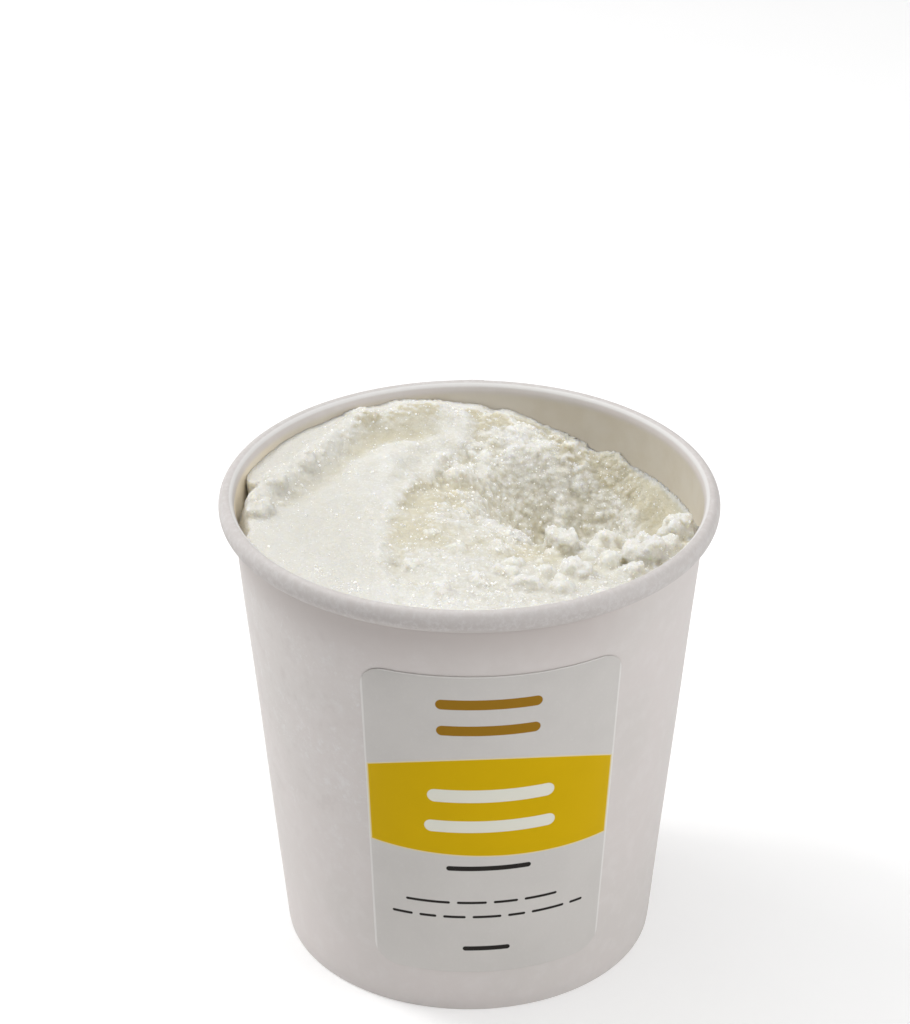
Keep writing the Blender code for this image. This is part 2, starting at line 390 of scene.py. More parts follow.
# The label
label = {
    "top": 82.3,
    "foot": 10.1,
    "halfAngleTop": math.radians(33.5),
    "halfAngleFoot": math.radians(34.8),
    "corner": 4.5,
    "cornerSteps": 9,
    "offWall": 0.05,
    "thickness": 0.17,
    "edgeRound": 0.05,
    "strips": 46,
    "bands": 12,
    "border": 0.45,
    "outline": (0.8, 0.68, 0.36),
    # heights of the color field's edges: constant, per degree and per degree squared
    "fieldFoot": (39.52, -0.0253, 0.00045),
    "fieldTop": (62.9, -0.02, -0.0043),
    "yellow": (0.685, 0.44, 0.0),
    "gold": (0.33, 0.17, 0.012),
    "cream": (0.8, 0.79, 0.7),
    "ink": (0.025, 0.022, 0.02),
    "paper": (0.655, 0.63, 0.605),
    "paperSpeck": (0.72, 0.70, 0.675),
    "cutEdgeAndHighlight": (0.83, 0.81, 0.79),
    "yellowSpeck": (0.71, 0.465, 0.002),
    "soft": 0.07,
    "bevelAngle": math.radians(50),
    "smoothAngle": math.radians(40),
}
# plain bars: the angles of the two ends in degrees, the middle height, the thickness and the ink
labelBars = [
    (-14.6, 11.6, 75.8, 2.3, "gold"),
    (-14.5, 11.4, 69.7, 2.3, "gold"),
    (-17.2, 16.1, 54.1, 3.0, "cream"),
    (-18.2, 16.8, 46.7, 2.8, "cream"),
    (-12.5, 10.7, 36.4, 1.15, "ink"),
    (-8.1, 5.6, 16.2, 1.1, "ink"),
]
# fine rows: middle height, first angle, and the lengths of the dashes with gaps between them
fineRows = [(27.8, -24.1, (12.5, 8.4, 6.9, 9.6)), (24.2, -28.3, (6.0, 4.9, 6.4, 8.2, 5.0, 9.8, 4.2))]
fineGap = 1.9
fineThickness = 0.62


def labelSeat(z):
    return wallRadius(z) + label["offWall"]


def labelFinish():
    material, shader, start = newFinish("labelPaper", Specular_IOR_Level=0.05)
    place = start.node("TexCoord", output="Object")
    parts = place.node("SeparateXYZ", None, {0: place})
    x, y, z = parts, parts.other("Y"), parts.other("Z") / mm
    degrees = x.math("ARCTAN2", x, -y) * (180 / math.pi)

    def height(edge):
        return degrees * (degrees * edge[2] + edge[1]) + edge[0]

    def bar(first, last, middle, thickness):
        # how far a place is outside a bar with round ends, in millimetres
        perDegree = math.radians(wallRadius(middle))
        half = perDegree * (last - first) / 2 - thickness / 2
        along = ((degrees - (first + last) / 2) * perDegree).size() - half
        across = z - middle
        past = along.least(0)
        return (past * past + across * across).root() - thickness / 2

    soft = label["soft"]
    speckle = place.cloud(1500, 3, 0.6)
    cloudy = place.cloud(90, 3)
    paper = cloudy.rise(0.35, 0.7).blend(label["paper"], [c * 0.965 for c in label["paper"]])
    paper = (speckle.rise(0.5, 0.8) * 0.25).blend(paper, label["paperSpeck"])

    lean = (wallRadius(label["top"]) - wallRadius(label["foot"])) / (label["top"] - label["foot"])
    halfTop = labelSeat(label["top"]) * math.sin(label["halfAngleTop"])
    halfFoot = labelSeat(label["foot"]) * math.sin(label["halfAngleFoot"])
    side = (z - label["foot"]) * ((halfTop - halfFoot) / (label["top"] - label["foot"])) + halfFoot
    fromSide = side - (x / mm).size()

    def fieldMask(margin):
        # the color field, drawn in or let out by a margin
        above = z - height(label["fieldFoot"]) - margin
        below = height(label["fieldTop"]) - z - margin
        beside = fromSide - label["border"] - margin
        return above.most(below).most(beside).rise(-soft, soft)

    # the cut edge of the sheet shows its white core with a painted highlight on it, and the field has a pale
    # outline
    paper = (fromSide.rise(0.34, 0.16) * 0.8).blend(paper, label["cutEdgeAndHighlight"])
    paper = ((z - label["top"]).rise(-0.32, -0.16) * 0.6).blend(paper, label["cutEdgeAndHighlight"])
    paper = fieldMask(-0.24).blend(paper, label["outline"])
    yellow = cloudy.blend(label["yellow"], [c * 0.93 for c in label["yellow"]])
    yellow = (speckle.rise(0.55, 0.8) * 0.3).blend(yellow, label["yellowSpeck"])
    tint = fieldMask(0.0).blend(paper, yellow)
    for first, last, middle, thickness, ink in labelBars:
        tint = bar(first, last, middle, thickness).rise(soft, -soft).blend(tint, label[ink])
    for middle, angle, dashes in fineRows:
        mask = None
        for dash in dashes:
            away = bar(angle, angle + dash, middle, fineThickness)
            mask = away if mask is None else mask.most(away)
            angle += dash + fineGap
        tint = mask.rise(soft, -soft).blend(tint, label["ink"])
    grain = speckle * 0.6 + place.cloud(300, 2) * 0.4
    feed(shader, Base_Color=tint, Roughness=0.36 + speckle * 0.14, Normal=grain.bump(0.12, 0.08 * mm))
    return material


def makeLabel():
    print("label: sheet")
    halfTop = labelSeat(label["top"]) * math.sin(label["halfAngleTop"])
    halfFoot = labelSeat(label["foot"]) * math.sin(label["halfAngleFoot"])
    middle = (label["top"] + label["foot"]) / 2
    bpy.ops.object.select_all(action="DESELECT")
    bpy.ops.mesh.primitive_plane_add(size=1, location=(0, 0, middle * mm), rotation=(math.pi / 2, 0, 0))
    piece = bpy.context.object
    piece.name = "labelSheet"
    piece.data.name = "labelSheet"
    bpy.ops.object.transform_apply(location=True, rotation=True)
    for vert in piece.data.vertices:
        half = halfTop if vert.co.z > middle * mm else halfFoot
        edge = label["top"] if vert.co.z > middle * mm else label["foot"]
        vert.co = (math.copysign(half * mm, vert.co.x), 0, edge * mm)
    bpy.ops.object.mode_set(mode="EDIT")
    bpy.ops.mesh.select_mode(type="VERT")
    bpy.ops.mesh.select_all(action="SELECT")
    bpy.ops.mesh.bevel(offset=label["corner"] * mm, affect="VERTICES", segments=label["cornerSteps"])
    for count, low, high, normal in (
        (label["strips"], -halfFoot, halfFoot, (1, 0, 0)),
        (label["bands"], label["foot"], label["top"], (0, 0, 1)),
    ):
        for i in range(1, count):
            at = Vector(normal) * (low + (high - low) * i / count) * mm
            bpy.ops.mesh.select_all(action="SELECT")
            bpy.ops.mesh.bisect(plane_co=at, plane_no=normal)
    bpy.ops.object.mode_set(mode="OBJECT")
    for vert in piece.data.vertices:
        # the flat sheet is laid on the leaning wall
        x, z = vert.co.x / mm, vert.co.z / mm
        angle = math.asin(x / labelSeat(z))
        radius = labelSeat(z) + wallShift(angle - math.pi / 2, z)
        vert.co = (radius * math.sin(angle) * mm, -radius * math.cos(angle) * mm, z * mm)
    pick(piece)
    solid = piece.modifiers.new("thickness", "SOLIDIFY")
    solid.thickness = label["thickness"] * mm
    solid.offset = 1
    bpy.ops.object.modifier_apply(modifier="thickness")
    edge = piece.modifiers.new("edge", "BEVEL")
    edge.width = label["edgeRound"] * mm
    edge.segments = 2
    edge.limit_method = "ANGLE"
    edge.angle_limit = label["bevelAngle"]
    bpy.ops.object.modifier_apply(modifier="edge")
    bpy.ops.object.shade_smooth_by_angle(angle=label["smoothAngle"])
    finishPiece(piece, "label_paper", labelFinish(), "label")
    return piece


# The sorbet
sorbet = {
    "levels": (94.4, 90.8),
    "levelSlope": (-15.0, 36.0),
    "lowestEdge": 87.5,
    "filmSlope": 1.5,
    "ridgeLine": [(-41, 7), (-36, 13), (-30.5, 19.5), (-25, 28), (-19, 36), (-10, 41.5), (2, 42)],
    "ridge": (2.0, 3.6),
    "troughLine": [(-35, 7), (-29.5, 14), (-22, 24.5), (-15.5, 32), (-5, 35)],
    "trough": (1.9, 3.6),
    "hollow": (23.0, 11.5),
    "hollowTurn": math.radians(-40),
    "hollowHalf": (24.0, 19.5),
    "hollowDepth": 19.0,
    "hollowShares": (1.05, 0.15),
    "apronDepth": 4.2,
    "apronShares": (1.75, 0.7),
    "wobble": 0.24,
    "wobbleTurns": 1.6,
    "coarse": (9.0, 0.35),
    "fine": (4.0, 0.15),
    "craggy": 0.9,
    "craggyShare": 2.1,
    "ridgeCrag": 0.3,
    "ragged": (2.4, 0.3),
    "gap": (math.radians(176), math.radians(17), 2.3),
    "notch": (math.radians(167), math.radians(5), 1.9),
    "gapFloor": 85.5,
    "gapLift": 4.2,
    "baseHeight": 7.3,
    "offWall": 0.05,
    # the torn edge of the smooth spread, with a shallow furrow on its right
    "tornLine": [(9, 48), (3, 34), (-3.4, 23.0), (-5.5, 19.7), (-12.7, 6.1), (-17.6, -8.5), (-19.5, -16),
                 (-18, -52)],
    "furrow": (1.25, 2.6, 3.4),
    "lip": (0.4, 1.3),
    # smooth patches on the dug side: place, half sizes and turn
    "calm": [((32, -8.5), (9.5, 4.6), -0.25), ((41.5, 12), (6.0, 11.5), 0.25), ((24, 11), (9, 5.5), -0.7)],
    # darker patches, partly duller clear ice and partly painted shade
    "dullAndShaded": [((1, -13), (15, 6.5), -0.25), ((-6, 6), (7, 9), 0.5)],
    "cells": 220,
    "slabFoot": 64.0,
    "voxel": 0.34,
    "faces": 96000,
    # how many times the surface is eased before each point is measured against it
    "rounds": (("crevice", 12), ("dip", 380)),
    # fine relief by noise: size, height on the smooth side, and what the torn side adds
    "relief": [(2.6, 0.1, 0.2), (1.2, 0.08, 0.14)],
    # and by packed grains: size, height, and what the torn side adds
    "packed": [(2.3, 0.02, 0.24), (1.1, 0.05, 0.17)],
}
lumps = [
    (-41.0, 2.0, 3.2, 1.5), (-37.5, 11.0, 2.8, 1.2), (-31.0, 19.5, 2.6, 0.9), (-18.0, 38.0, 3.0, 0.9),
    (16.8, -11.5, 3.7, 4.6), (27.5, -3.5, 4.0, 3.2), (32.0, -18.0, 4.2, 3.8), (37.5, -14.0, 3.0, 2.0),
    (40.5, -6.5, 3.6, 3.8), (18.0, -24.0, 3.0, 1.8), (24.7, -20.0, 2.4, 2.0), (28.5, -24.0, 2.6, 1.6),
]
# crumbly bits of the front, only in this model
bits = [
    (3.9, -26.2, 2.3, 0.7), (7.5, -30.5, 2.7, 0.9), (11.7, -25.2, 2.3, 1.0), (14.2, -30.4, 2.5, 0.9),
    (-1.3, -29.5, 2.1, 0.5), (-4.6, -16.8, 2.5, 0.5), (6.2, -21.6, 2.1, 0.6), (3.9, -16.2, 2.3, 0.5),
    (-8.8, -10.4, 2.2, 0.5), (-13.5, -22.5, 2.2, 0.5), (21.5, -33.5, 2.2, 0.8), (-9.5, -33.0, 2.4, 0.5),
    (27.2, -3.6, 3.0, 2.2), (24.8, -6.0, 2.4, 1.3),
]
# low mounds on the spread, softer than the lumps
mounds = [(-18.8, -18.5, 5.0, 0.8), (-6.0, -24.0, 7.0, 0.5), (6.5, -29.0, 6.0, 0.6), (-31.0, -22.0, 6.0, 0.35)]
crumbDraw = {
    "seed": 11,
    "count": 60,
    "radius": (1.8, 3.2),
    "height": (0.4, 1.3),
    "share": (0.35, 1.2),
    "margin": 3.0,
}


def makeCrumbs():
    draw = random.Random(crumbDraw["seed"])
    found = []
    while len(found) < crumbDraw["count"]:
        angle = draw.uniform(0, fullTurn)
        away = draw.uniform(*crumbDraw["share"]) * sorbet["hollowHalf"][0]
        x = sorbet["hollow"][0] + away * math.cos(angle)
        y = sorbet["hollow"][1] + away * math.sin(angle)
        if math.hypot(x, y) < wallRadius(sorbet["lowestEdge"]) - crumbDraw["margin"]:
            found.append((x, y, draw.uniform(*crumbDraw["radius"]), draw.uniform(*crumbDraw["height"])))
    return found


def awayFromLine(x, y, line):
    # the distance to a bent line, counted negative on its left as the line runs
    here = Vector((x, y))
    shortest, side = math.inf, 1
    for a, b in zip(line, line[1:]):
        start, along = Vector(a), Vector(b) - Vector(a)
        t = min(1, max(0, (here - start).dot(along) / along.length_squared))
        away = here - start - t * along
        if away.length < shortest:
            shortest = away.length
            side = -1 if along.cross(here - start) > 0 else 1
    return shortest * side


def swell(distance, width):
    return math.exp(-(distance / width) ** 2)


def rough(x, y, size, seed):
    return noise.noise(Vector((x / size, y / size, seed)))


def hollowShare(x, y):
    # 0 at the middle of the hollow and 1 on its uneven lip
    turn, back = math.cos(sorbet["hollowTurn"]), math.sin(sorbet["hollowTurn"])
    dx, dy = x - sorbet["hollow"][0], y - sorbet["hollow"][1]
    along = (dx * turn + dy * back) / sorbet["hollowHalf"][0]
    across = (dy * turn - dx * back) / sorbet["hollowHalf"][1]
    angle = math.atan2(across, along)
    turns = sorbet["wobbleTurns"]
    wobble = rough(turns * math.cos(angle), turns * math.sin(angle), 1, 4.2)
    return math.hypot(across, along) * (1 + sorbet["wobble"] * wobble)


def patchAt(x, y, patches, soft=0.4):
    # 1 inside the patches, each given by its place, half sizes and turn
    found = 0
    for (cx, cy), (halfX, halfY), turn in patches:
        dx, dy = x - cx, y - cy
        along = (dx * math.cos(turn) + dy * math.sin(turn)) / halfX
        across = (dy * math.cos(turn) - dx * math.sin(turn)) / halfY
        found = max(found, smoothStep(0.75 + soft, 0.75, math.hypot(along, across)))
    return found


def calmAt(x, y):
    # 1 where the dug ice was left smooth
    return patchAt(x, y, sorbet["calm"])


def pastTorn(x, y):
    # the distance to the right of the torn edge, which wanders a little
    return 1.9 * rough(x, y, 5.0, 9.4) + 0.8 * rough(x, y, 2.0, 8.1) - awayFromLine(x, y, sorbet["tornLine"])


def tornShade(x, y):
    # darker ice beside the torn edge: partly clearer, duller ice and partly painted shade
    return swell(pastTorn(x, y) - 5, 5) * smoothStep(-24, -12, y) * smoothStep(30, 18, y)


def tornAt(x, y):
    # 0 on the smooth spread and 1 where the ice was torn
    right = pastTorn(x, y)
    onRidge = swell(awayFromLine(x, y, sorbet["ridgeLine"]), sorbet["ridge"][1])
    torn = smoothStep(-0.4, 1.6, right) * (0.42 + 0.58 * smoothStep(1.7, 1.1, hollowShare(x, y)))
    return max(torn * (1 - 0.72 * calmAt(x, y)), 0.45 * onRidge)


def sorbetHeight(x, y):
    left, right = sorbet["levels"]
    z = left + (right - left) * smoothStep(*sorbet["levelSlope"], x)
    onRidge = swell(awayFromLine(x, y, sorbet["ridgeLine"]), sorbet["ridge"][1])
    z += sorbet["ridge"][0] * onRidge
    z -= sorbet["trough"][0] * swell(awayFromLine(x, y, sorbet["troughLine"]), sorbet["trough"][1])
    share = hollowShare(x, y)
    z -= sorbet["hollowDepth"] * smoothStep(*sorbet["hollowShares"], share)
    z -= sorbet["apronDepth"] * smoothStep(*sorbet["apronShares"], share)
    calm = calmAt(x, y)
    crag = sorbet["craggy"] * (smoothStep(sorbet["craggyShare"], 1, share) + sorbet["ridgeCrag"] * onRidge)
    crag *= 1 - 0.6 * calm
    z += (sorbet["coarse"][1] + crag) * rough(x, y, sorbet["coarse"][0], 1.3)
    z += (sorbet["fine"][1] + crag) * rough(x, y, sorbet["fine"][0], 7.1)

    # the furrow along the torn edge, with an uneven lip on the spread's side
    past = pastTorn(x, y)
    depth, middle, width = sorbet["furrow"]
    depth *= (0.75 + 0.9 * rough(x, y, 7.0, 6.6)) * smoothStep(-31, -20, y) * smoothStep(38, 31, y)
    z -= depth * swell(past - middle, width if past > middle else width * 0.5)
    z += sorbet["lip"][0] * (0.7 + rough(x, y, 4.0, 2.2)) * swell(past + 0.5, sorbet["lip"][1])
    for moundX, moundY, radius, height in mounds:
        z += height * swell(math.hypot(x - moundX, y - moundY), radius * 0.6)

    ragged = 1 + sorbet["ragged"][1] * rough(x, y, sorbet["ragged"][0], 3.7)
    for lumpX, lumpY, radius, height in allLumps:
        dx, dy = x - lumpX, y - lumpY
        if abs(dx) < 2 * radius and abs(dy) < 2 * radius:
            away = ragged * math.hypot(dx, dy) / radius
            if away < 1:
                z += height * (1 - away ** 3)
    return z


def everyLump():
    found = lumps + bits
    for x, y, radius, height in makeCrumbs():
        # crumbs are lower where the ice is smooth, and on the front of the dug side
        height = height * (1 - 0.75 * calmAt(x, y)) * (0.75 if y < 0 and x < 22 else 1)
        found.append((x, y, radius, height))
    return found


allLumps = everyLump()


def gapAt(angle):
    turn = angle % fullTurn
    middle, half, width = sorbet["gap"]
    gap = width * smoothStep(1.0, 0.6, abs(turn - middle) / half)
    middle, half, width = sorbet["notch"]
    return gap + width * smoothStep(1.0, 0.2, abs(turn - middle) / half)


def sorbetRadius(z):
    return wallRadius(z) - tub["card"] - sorbet["offWall"]


def edgeHeight(angle):
    nominal = sorbetRadius(sorbet["levels"][0])
    return max(sorbet["lowestEdge"], sorbetHeight(nominal * math.cos(angle), nominal * math.sin(angle)))


def edgeAt(angle):
    return sorbetRadius(edgeHeight(angle)) - gapAt(angle)


def gapFloorAt(angle):
    # the gap is shallow, so its floor stands above the ring beside it
    return sorbet["gapFloor"] + sorbet["gapLift"] * min(1, gapAt(angle) / sorbet["gap"][2])


def growDown(piece, *rings):
    # the open edge is drawn down along the wall, ring after ring, to the height at each angle
    for heightAt in rings:
        bpy.ops.mesh.extrude_region_move(TRANSFORM_OT_translate={"value": (0, 0, -1 * mm)})
        bpy.ops.object.mode_set(mode="OBJECT")
        for vert in piece.data.vertices:
            if vert.select:
                angle = math.atan2(vert.co.y, vert.co.x)
                height = heightAt(angle)
                radius = sorbetRadius(height) * mm
                vert.co = (radius * math.cos(angle), radius * math.sin(angle), height * mm)
        bpy.ops.object.mode_set(mode="EDIT")


def sorbetSlab():
    # a square grid is drawn out to a disc, lifted to the surface, and grown down to a flat foot
    cells = sorbet["cells"]
    bpy.ops.object.select_all(action="DESELECT")
    bpy.ops.mesh.primitive_grid_add(x_subdivisions=cells, y_subdivisions=cells, size=2)
    piece = bpy.context.object
    piece.name = "sorbetBody"
    piece.data.name = "sorbetBody"
    angles = 720
    edges = [edgeAt(fullTurn * i / angles) for i in range(angles)]
    for vert in piece.data.vertices:
        u, v = vert.co.x, vert.co.y
        across = u * math.sqrt(1 - v * v / 2)
        along = v * math.sqrt(1 - u * u / 2)
        turn = (math.atan2(along, across) % fullTurn) / fullTurn * angles
        low = int(turn)
        edge = edges[low % angles] * (low + 1 - turn) + edges[(low + 1) % angles] * (turn - low)
        x, y = across * edge, along * edge
        z = sorbetHeight(x, y)
        # a film clings to the wall where the hollow reaches it
        z = max(z, sorbet["lowestEdge"] - sorbet["filmSlope"] * edge * (1 - math.hypot(across, along)))
        vert.co = (x * mm, y * mm, z * mm)
    pick(piece)
    bpy.ops.object.mode_set(mode="EDIT")
    bpy.ops.mesh.select_mode(type="EDGE")
    bpy.ops.mesh.select_all(action="DESELECT")
    bpy.ops.mesh.select_non_manifold()
    growDown(piece, gapFloorAt, lambda angle: sorbet["slabFoot"])
    bpy.ops.mesh.edge_face_add()
    bpy.ops.mesh.select_all(action="SELECT")
    bpy.ops.mesh.normals_make_consistent(inside=False)
    bpy.ops.object.mode_set(mode="OBJECT")
    return piece


# Clumps that are fused into the sorbet
clumps = {
    "seed": 5,
    "perLump": 8,
    "lumpShare": (0.42, 0.72),
    "tries": 7000,
    "radius": (0.4, 0.95),
    "chance": 0.26,
    "ruffle": 0.34,
    "ceiling": 97.2,
    "fullRadius": 3.4,
    "spread": 0.62,
    "reach": 44.5,
}


def stoneTemplate(subdivisions):
    bpy.ops.object.select_all(action="DESELECT")
    bpy.ops.mesh.primitive_ico_sphere_add(subdivisions=subdivisions, radius=1)
    stone = bpy.context.object
    points = np.array([vert.co[:] for vert in stone.data.vertices])
    faces = np.array([polygon.vertices[:] for polygon in stone.data.polygons])
    bpy.data.objects.remove(stone)
    return points, faces


def scatterMesh(name, template, placed, ruffle):
    # copies of the template, each turned, stretched and ruffled in its own way, in one mesh
    points, faces = template
    allPoints, allFaces = [], []
    for count, (x, y, z, radius, stretch, turn) in enumerate(placed):
        ruffled = []
        for point in points:
            push = 1 + ruffle * noise.noise(Vector(point) * 1.9 + Vector((count * 3.1, 0, 0)))
            ruffled.append(point * push)
        moved = (np.array(ruffled) * stretch * radius) @ np.array(turn.to_matrix()).T + (x, y, z)
        allPoints.append(moved)
        allFaces.append(faces + len(points) * count)
    mesh = bpy.data.meshes.new(name)
    mesh.from_pydata(np.concatenate(allPoints) * mm, [], np.concatenate(allFaces).tolist())
    piece = bpy.data.objects.new(name, mesh)
    bpy.context.scene.collection.objects.link(piece)
    return piece


def randomTurn(draw):
    return Vector((0, 0, 1)).rotation_difference(
        Vector((draw.gauss(0, 1), draw.gauss(0, 1), draw.gauss(0, 1))).normalized())


def placeClumps():
    draw = random.Random(clumps["seed"])
    placed = []
    for x, y, radius, height in lumps + bits:
        for i in range(round(clumps["perLump"] * min(1, radius / clumps["fullRadius"]))):
            angle = draw.uniform(0, fullTurn)
            away = radius * clumps["spread"] * math.sqrt(draw.random())
            size = radius * draw.uniform(*clumps["lumpShare"])
            cx, cy = x + away * math.cos(angle), y + away * math.sin(angle)
            cz = sorbetHeight(cx, cy) - size * draw.uniform(0.25, 0.75)
            cz = min(cz, clumps["ceiling"] - size)
            stretch = np.array([draw.uniform(0.8, 1.2), draw.uniform(0.8, 1.2), draw.uniform(0.6, 0.95)])
            placed.append((cx, cy, cz, size, stretch, randomTurn(draw)))
    for i in range(clumps["tries"]):
        angle, away = draw.uniform(0, fullTurn), clumps["reach"] * math.sqrt(draw.random())
        x, y = away * math.cos(angle), away * math.sin(angle)
        size = clumps["radius"][0] + (clumps["radius"][1] - clumps["radius"][0]) * draw.random() ** 2.2
        stretch = np.array([draw.uniform(0.75, 1.25), draw.uniform(0.75, 1.25), draw.uniform(0.6, 1.0)])
        turn = randomTurn(draw)
        chance = draw.random()
        if away > edgeAt(angle) - size - 0.2:
            continue
        if chance < clumps["chance"] * tornAt(x, y) ** 1.5:
            placed.append((x, y, sorbetHeight(x, y) - size * draw.uniform(0.3, 0.8), size, stretch, turn))
    return placed


def fuse(piece, others):
    # joined, remeshed as one skin and smoothed a little
    pick(piece)
    for other in others:
        other.select_set(True)
    bpy.ops.object.join()
    skin = piece.modifiers.new("skin", "REMESH")
    skin.mode = "VOXEL"
    skin.voxel_size = sorbet["voxel"] * mm
    bpy.ops.object.modifier_apply(modifier="skin")
    ease = piece.modifiers.new("ease", "SMOOTH")
    ease.factor = 0.5
    ease.iterations = 2
    bpy.ops.object.modifier_apply(modifier="ease")


def sideFrom(angle):
    # the sorbet's side shows only where it came away from the wall
    inGap = smoothStep(0.5, 0.25, abs(angle % fullTurn - sorbet["gap"][0]))
    return edgeHeight(angle) - 1.6 if inGap == 0 else sorbet["gapFloor"] - 1.2


def plainSide(piece):
    # the hidden side and foot are cut away and drawn down again in two plain steps
    angles = 360
    limits = [sideFrom(fullTurn * i / angles) for i in range(angles)]
    lowest = sorbet["gapFloor"] - 2.4

    def hidden(center, normal):
        radius, z = math.hypot(center.x, center.y) / mm, center.z / mm
        if z < sorbet["slabFoot"] + 0.7:
            return True
        limit = limits[int((math.atan2(center.y, center.x) % fullTurn) / fullTurn * angles) % angles]
        outwards = (center.x * normal.x + center.y * normal.y) / (radius * mm)
        return z < limit and radius > sorbetRadius(z) - 0.8 and outwards > 0.3

    selectWhere(piece, hidden)
    bpy.ops.mesh.delete(type="FACE")
    bpy.ops.mesh.select_mode(type="EDGE")
    bpy.ops.mesh.select_all(action="DESELECT")
    bpy.ops.mesh.select_non_manifold()
    growDown(piece, lambda angle: lowest, lambda angle: sorbet["baseHeight"])
    bpy.ops.mesh.extrude_region_move(TRANSFORM_OT_translate={"value": (0, 0, 0)})
    bpy.ops.mesh.merge(type="CENTER")
    bpy.ops.mesh.select_all(action="SELECT")
    bpy.ops.mesh.normals_make_consistent(inside=False)
    bpy.ops.object.mode_set(mode="OBJECT")


def readPoints(mesh, kind):
    values = np.zeros(len(mesh.vertices) * 3)
    mesh.vertices.foreach_get(kind, values)
    return values.reshape(-1, 3)


def icyRelief(piece):
    # small relief along the normals, kept inside the wall
    mesh = piece.data
    points, normals = readPoints(mesh, "co") / mm, readPoints(mesh, "normal")
    lowest = sorbet["gapFloor"] - 2
    for i in range(len(points)):
        x, y, z = points[i]
        if z < lowest and math.hypot(x, y) > sorbetRadius(z) - 1:
            continue
        torn = tornAt(x, y)
        push = 0
        for k, (size, low, high) in enumerate(sorbet["relief"]):
            push += (low + high * torn) * noise.noise(Vector((x / size, y / size, z / size + 5.3 * k)))
        for size, low, high in sorbet["packed"]:
            cell = noise.noise(Vector((x, y, z)) / size, noise_basis="VORONOI_F1")
            push -= (low + high * torn) * cell
        points[i] += normals[i] * push
        x, y, z = points[i]
        radius, angle = math.hypot(x, y), math.atan2(y, x)
        outwards = (x * normals[i][0] + y * normals[i][1]) / max(radius, 1)
        allowed = sorbetRadius(z) + wallShift(angle, z) - (0.3 if 76 < math.degrees(angle) < 93 else 0)
        # ice touches the wall all round, apart from the gap
        close = 1.0 if outwards > 0.3 else 0.5 if outwards > 0 else 0
        if radius > allowed or (radius > allowed - close and gapAt(angle) == 0):
            points[i][:2] *= allowed / radius
    mesh.vertices.foreach_set("co", (points * mm).ravel())
    mesh.update()


def measureCrevices(piece):
    # how far each point lies below its surroundings, for the finish
    mesh = piece.data
    count = len(mesh.vertices)
    points, normals = readPoints(mesh, "co") / mm, readPoints(mesh, "normal")
    edges = np.zeros(len(mesh.edges) * 2, int)
    mesh.edges.foreach_get("vertices", edges)
    a, b = edges.reshape(-1, 2).T
    degree = np.bincount(a, minlength=count) + np.bincount(b, minlength=count)
    eased = points.copy()
    away = np.hypot(points[:, 0], points[:, 1]) - sorbetRadius(points[:, 2])
    turn = np.degrees(np.arctan2(points[:, 1], points[:, 0]))
    width = 2.2 + 4 * np.clip(np.minimum(turn - 92, 168 - turn) / 12, 0, 1)
    beside = 0.9 * np.clip(1 + away / width, 0, 1) ** 2
    for name, rounds in sorbet["rounds"]:
        for i in range(rounds):
            total = np.zeros_like(eased)
            for axis in range(3):
                total[:, axis] = np.bincount(a, eased[b, axis], count) + np.bincount(b, eased[a, axis], count)
            eased = total / np.maximum(degree, 1)[:, None]
        depth = ((eased - points) * normals).sum(1)
        if name == "dip":
            # ice that lies against the wall is darkened as ice in a dip is: painted shade where it meets the
            # wall
            depth = np.where(beside > 0, np.maximum(depth, 0) * (1 - beside) + beside, depth)
            # the torn edge, the smooth patches and the darker patches darken the ice too, partly as painted
            # shade
            depth += [tornShade(x, y) + 0.45 * calmAt(x, y) + 0.75 * patchAt(x, y, sorbet["dullAndShaded"], 0.7)
                      for x, y in points[:, :2]]
        print("sorbet:", name, np.round(np.percentile(depth, (2, 15, 50, 85, 98)), 2))
        layer = mesh.attributes.new(name, "FLOAT", "POINT")
        layer.data.foreach_set("value", depth.astype(np.float32))


iceTints = {
    "clear": (0.79, 0.775, 0.715),
    "cloudy": (0.755, 0.738, 0.668),
    "grain": (0.88, 0.875, 0.85),
    "seam": (0.67, 0.655, 0.59),
    "loose": (0.9, 0.895, 0.87),
    "loosePale": (0.99, 0.99, 0.98),
    "dip": (0.66, 0.615, 0.47),
    "rise": (0.86, 0.86, 0.84),
    "crevice": (0.66, 0.63, 0.53),
    "crest": (0.9, 0.9, 0.88),
    "left": (0.7, 0.685, 0.63),
    "paintedGlintFacet": (1, 1, 0.99),
}


